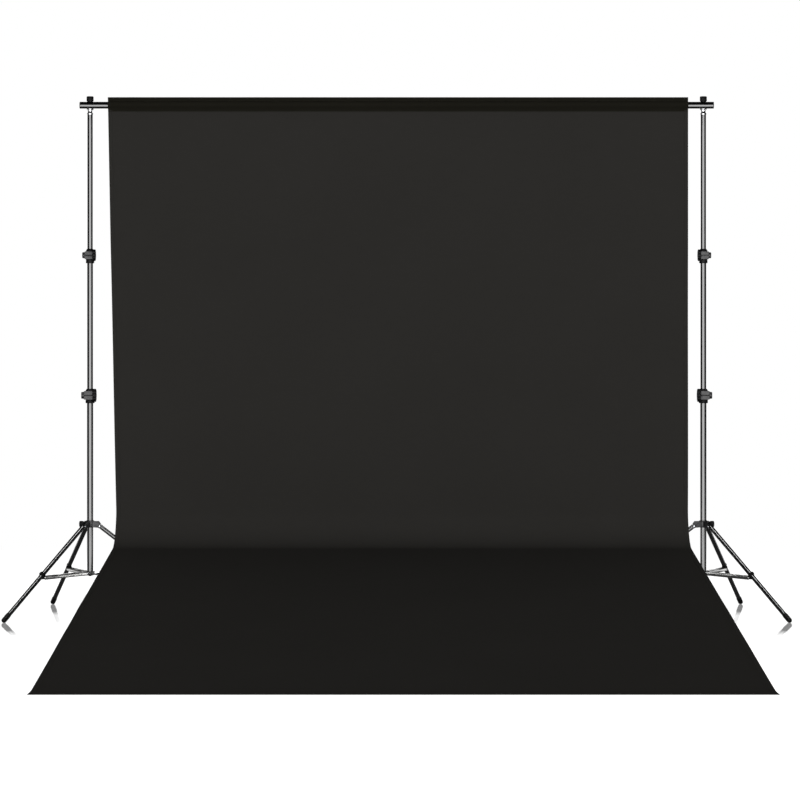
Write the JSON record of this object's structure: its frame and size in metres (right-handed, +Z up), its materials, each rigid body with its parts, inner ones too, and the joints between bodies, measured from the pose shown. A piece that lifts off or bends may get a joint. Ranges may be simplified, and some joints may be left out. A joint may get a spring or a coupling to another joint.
{
  "type": "backdrop support stand kit",
  "caption": "Pair of folding tripod light stands carrying a sectional crossbar, with a black muslin backdrop that hangs from it and sweeps forward over the floor.",
  "frame": {"origin": "on the floor, at the middle of the whole footprint, midway between the two columns", "axes": "+Z up; +X along the crossbar, towards the right stand; the cloth comes forward from the crossbar towards -Y"},
  "size_m": [3.6138, 3.8866, 2.4473],
  "materials": {
    "tube": "gloss black coated tube",
    "moulded": "black moulded nylon, satin",
    "knob": "black moulded knob, fine texture",
    "channel": "bright nickel plated pressed steel",
    "rivet": "zinc plated",
    "chrome": "bright plated",
    "rubber": "matte black rubber",
    "cloth": "black woven muslin, matte"
  },
  "bodies": {
    "left_column": {"left_lower_tube": "tube", "left_lower_collar": "moulded", "left_brace_hub": "moulded", "left_brace_hub_rivets": "rivet", "cloth_ramp_panel": "cloth", "cloth_floor_panel": "cloth"},
    "left_mast_middle": {"left_middle_tube": "tube", "left_upper_collar": "moulded", "cloth_lower_panel": "cloth"},
    "crossbar": {"left_top_tube": "tube", "left_spigot": "chrome", "right_top_tube": "tube", "right_spigot": "chrome", "crossbar_sections": "tube", "crossbar_joiners": "channel", "crossbar_end_caps": "rubber", "cloth_pocket": "cloth", "cloth_upper_panel": "cloth"},
    "right_mast_middle": {"right_middle_tube": "tube", "right_upper_collar": "moulded"},
    "right_column": {"right_lower_tube": "tube", "right_lower_collar": "moulded", "right_brace_hub": "moulded", "right_brace_hub_rivets": "rivet"},
    "left_lower_clamp_knob": {"left_lower_collar_knob": "knob"},
    "left_upper_clamp_knob": {"left_upper_collar_knob": "knob"},
    "left_bar_knob": {"left_top_knob": "knob"},
    "left_leg_hub": {"left_leg_hub": "moulded", "left_leg_hub_rivets": "rivet"},
    "left_hub_knob": {"left_leg_hub_knob": "knob"},
    "left_inner_leg": {"left_inner_leg": "tube", "left_inner_leg_clip": "knob", "left_inner_foot": "rubber"},
    "left_inner_brace": {"left_inner_brace": "channel"},
    "left_rear_leg": {"left_rear_leg": "tube", "left_rear_leg_clip": "knob", "left_rear_foot": "rubber"},
    "left_rear_brace": {"left_rear_brace": "channel"},
    "left_front_leg": {"left_front_leg": "tube", "left_front_leg_clip": "knob", "left_front_foot": "rubber"},
    "left_front_brace": {"left_front_brace": "channel"},
    "right_lower_clamp_knob": {"right_lower_collar_knob": "knob"},
    "right_upper_clamp_knob": {"right_upper_collar_knob": "knob"},
    "right_bar_knob": {"right_top_knob": "knob"},
    "right_leg_hub": {"right_leg_hub": "moulded", "right_leg_hub_rivets": "rivet"},
    "right_hub_knob": {"right_leg_hub_knob": "knob"},
    "right_inner_leg": {"right_inner_leg": "tube", "right_inner_leg_clip": "knob", "right_inner_foot": "rubber"},
    "right_inner_brace": {"right_inner_brace": "channel"},
    "right_rear_leg": {"right_rear_leg": "tube", "right_rear_leg_clip": "knob", "right_rear_foot": "rubber"},
    "right_rear_brace": {"right_rear_brace": "channel"},
    "right_front_leg": {"right_front_leg": "tube", "right_front_leg_clip": "knob", "right_front_foot": "rubber"},
    "right_front_brace": {"right_front_brace": "channel"}
  },
  "joints": [
    {"name": "lower_mast_slide", "type": "slide", "parent": "left_column", "child": "left_mast_middle", "axis": [0, 0, 1], "range_m": [-0.59, 0], "deforming": ["cloth_lower_panel"]},
    {"name": "upper_mast_slide", "type": "slide", "parent": "left_mast_middle", "child": "crossbar", "axis": [0, 0, 1], "range_m": [-0.61, 0], "deforming": ["cloth_upper_panel"]},
    {"name": "right_upper_mast_slide", "type": "slide", "parent": "crossbar", "child": "right_mast_middle", "axis": [0, 0, 1], "range_m": [0, 0.61]},
    {"name": "right_lower_mast_slide", "type": "slide", "parent": "right_mast_middle", "child": "right_column", "axis": [0, 0, 1], "range_m": [0, 0.59]},
    {"name": "left_lower_clamp_knob_turn", "type": "hinge", "parent": "left_column", "child": "left_lower_clamp_knob", "pos_m": [-1.451, 1.36394, 1.03352], "axis": [1, 0, 0], "range_deg": [0, 270]},
    {"name": "left_upper_clamp_knob_turn", "type": "hinge", "parent": "left_mast_middle", "child": "left_upper_clamp_knob", "pos_m": [-1.451, 1.36771, 1.695], "axis": [1, 0, 0], "range_deg": [0, 270]},
    {"name": "left_bar_knob_turn", "type": "hinge", "parent": "crossbar", "child": "left_bar_knob", "pos_m": [-1.451, 1.39671, 2.426], "axis": [0, 0, 1], "range_deg": [0, 270]},
    {"name": "left_leg_fold", "type": "slide", "parent": "left_column", "child": "left_leg_hub", "axis": [0, 0, 1], "range_m": [0, 0.42563]},
    {"name": "left_hub_knob_turn", "type": "hinge", "parent": "left_leg_hub", "child": "left_hub_knob", "pos_m": [-1.49078, 1.40089, 0.42378], "axis": [-0.9945, 0.1045, 0], "range_deg": [0, 270]},
    {"name": "left_inner_leg_hinge", "type": "hinge", "parent": "left_leg_hub", "child": "left_inner_leg", "pos_m": [-1.40326, 1.39169, 0.41428], "axis": [0.1045, 0.9945, 0], "range_deg": [0, 51.6]},
    {"name": "left_inner_brace_hinge", "type": "hinge", "parent": "left_column", "child": "left_inner_brace", "pos_m": [-1.42116, 1.39358, 0.192], "axis": [-0.1045, -0.9945, 0], "range_deg": [0, 88.15]},
    {"name": "left_rear_leg_hinge", "type": "hinge", "parent": "left_leg_hub", "child": "left_rear_leg", "pos_m": [-1.47052, 1.44056, 0.41428], "axis": [-0.9135, -0.4067, 0], "range_deg": [0, 51.6]},
    {"name": "left_rear_brace_hinge", "type": "hinge", "parent": "left_column", "child": "left_rear_brace", "pos_m": [-1.4632, 1.42412, 0.192], "axis": [0.9135, 0.4067, 0], "range_deg": [0, 88.15]},
    {"name": "left_front_leg_hinge", "type": "hinge", "parent": "left_leg_hub", "child": "left_front_leg", "pos_m": [-1.47921, 1.35788, 0.41428], "axis": [0.809, -0.5878, 0], "range_deg": [0, 51.6]},
    {"name": "left_front_brace_hinge", "type": "hinge", "parent": "left_column", "child": "left_front_brace", "pos_m": [-1.46863, 1.37244, 0.192], "axis": [-0.809, 0.5878, 0], "range_deg": [0, 88.15]},
    {"name": "right_lower_clamp_knob_turn", "type": "hinge", "parent": "right_column", "child": "right_lower_clamp_knob", "pos_m": [1.451, 1.36394, 1.03352], "axis": [-1, 0, 0], "range_deg": [0, 270]},
    {"name": "right_upper_clamp_knob_turn", "type": "hinge", "parent": "right_mast_middle", "child": "right_upper_clamp_knob", "pos_m": [1.451, 1.36771, 1.695], "axis": [-1, 0, 0], "range_deg": [0, 270]},
    {"name": "right_bar_knob_turn", "type": "hinge", "parent": "crossbar", "child": "right_bar_knob", "pos_m": [1.451, 1.39671, 2.426], "axis": [0, 0, 1], "range_deg": [0, 270]},
    {"name": "right_leg_fold", "type": "slide", "parent": "right_column", "child": "right_leg_hub", "axis": [0, 0, 1], "range_m": [0, 0.42563]},
    {"name": "right_hub_knob_turn", "type": "hinge", "parent": "right_leg_hub", "child": "right_hub_knob", "pos_m": [1.49078, 1.40089, 0.42378], "axis": [0.9945, 0.1045, 0], "range_deg": [0, 270]},
    {"name": "right_inner_leg_hinge", "type": "hinge", "parent": "right_leg_hub", "child": "right_inner_leg", "pos_m": [1.40326, 1.39169, 0.41428], "axis": [0.1045, -0.9945, 0], "range_deg": [0, 51.6]},
    {"name": "right_inner_brace_hinge", "type": "hinge", "parent": "right_column", "child": "right_inner_brace", "pos_m": [1.42116, 1.39358, 0.192], "axis": [-0.1045, 0.9945, 0], "range_deg": [0, 88.15]},
    {"name": "right_rear_leg_hinge", "type": "hinge", "parent": "right_leg_hub", "child": "right_rear_leg", "pos_m": [1.47052, 1.44056, 0.41428], "axis": [-0.9135, 0.4067, 0], "range_deg": [0, 51.6]},
    {"name": "right_rear_brace_hinge", "type": "hinge", "parent": "right_column", "child": "right_rear_brace", "pos_m": [1.4632, 1.42412, 0.192], "axis": [0.9135, -0.4067, 0], "range_deg": [0, 88.15]},
    {"name": "right_front_leg_hinge", "type": "hinge", "parent": "right_leg_hub", "child": "right_front_leg", "pos_m": [1.47921, 1.35788, 0.41428], "axis": [0.809, 0.5878, 0], "range_deg": [0, 51.6]},
    {"name": "right_front_brace_hinge", "type": "hinge", "parent": "right_column", "child": "right_front_brace", "pos_m": [1.46863, 1.37244, 0.192], "axis": [-0.809, -0.5878, 0], "range_deg": [0, 88.15]}
  ],
  "couplings": [
    {"joint": "right_upper_mast_slide", "follows": "upper_mast_slide", "ratio": -1},
    {"joint": "right_lower_mast_slide", "follows": "lower_mast_slide", "ratio": -1},
    {"joint": "left_inner_leg_hinge", "follows": "left_leg_fold", "rad_per_m": 2.1159},
    {"joint": "left_inner_brace_hinge", "follows": "left_leg_fold", "rad_per_m": 3.6148},
    {"joint": "left_rear_leg_hinge", "follows": "left_leg_fold", "rad_per_m": 2.1159},
    {"joint": "left_rear_brace_hinge", "follows": "left_leg_fold", "rad_per_m": 3.6148},
    {"joint": "left_front_leg_hinge", "follows": "left_leg_fold", "rad_per_m": 2.1159},
    {"joint": "left_front_brace_hinge", "follows": "left_leg_fold", "rad_per_m": 3.6148},
    {"joint": "right_inner_leg_hinge", "follows": "right_leg_fold", "rad_per_m": 2.1159},
    {"joint": "right_inner_brace_hinge", "follows": "right_leg_fold", "rad_per_m": 3.6148},
    {"joint": "right_rear_leg_hinge", "follows": "right_leg_fold", "rad_per_m": 2.1159},
    {"joint": "right_rear_brace_hinge", "follows": "right_leg_fold", "rad_per_m": 3.6148},
    {"joint": "right_front_leg_hinge", "follows": "right_leg_fold", "rad_per_m": 2.1159},
    {"joint": "right_front_brace_hinge", "follows": "right_leg_fold", "rad_per_m": 3.6148}
  ]
}
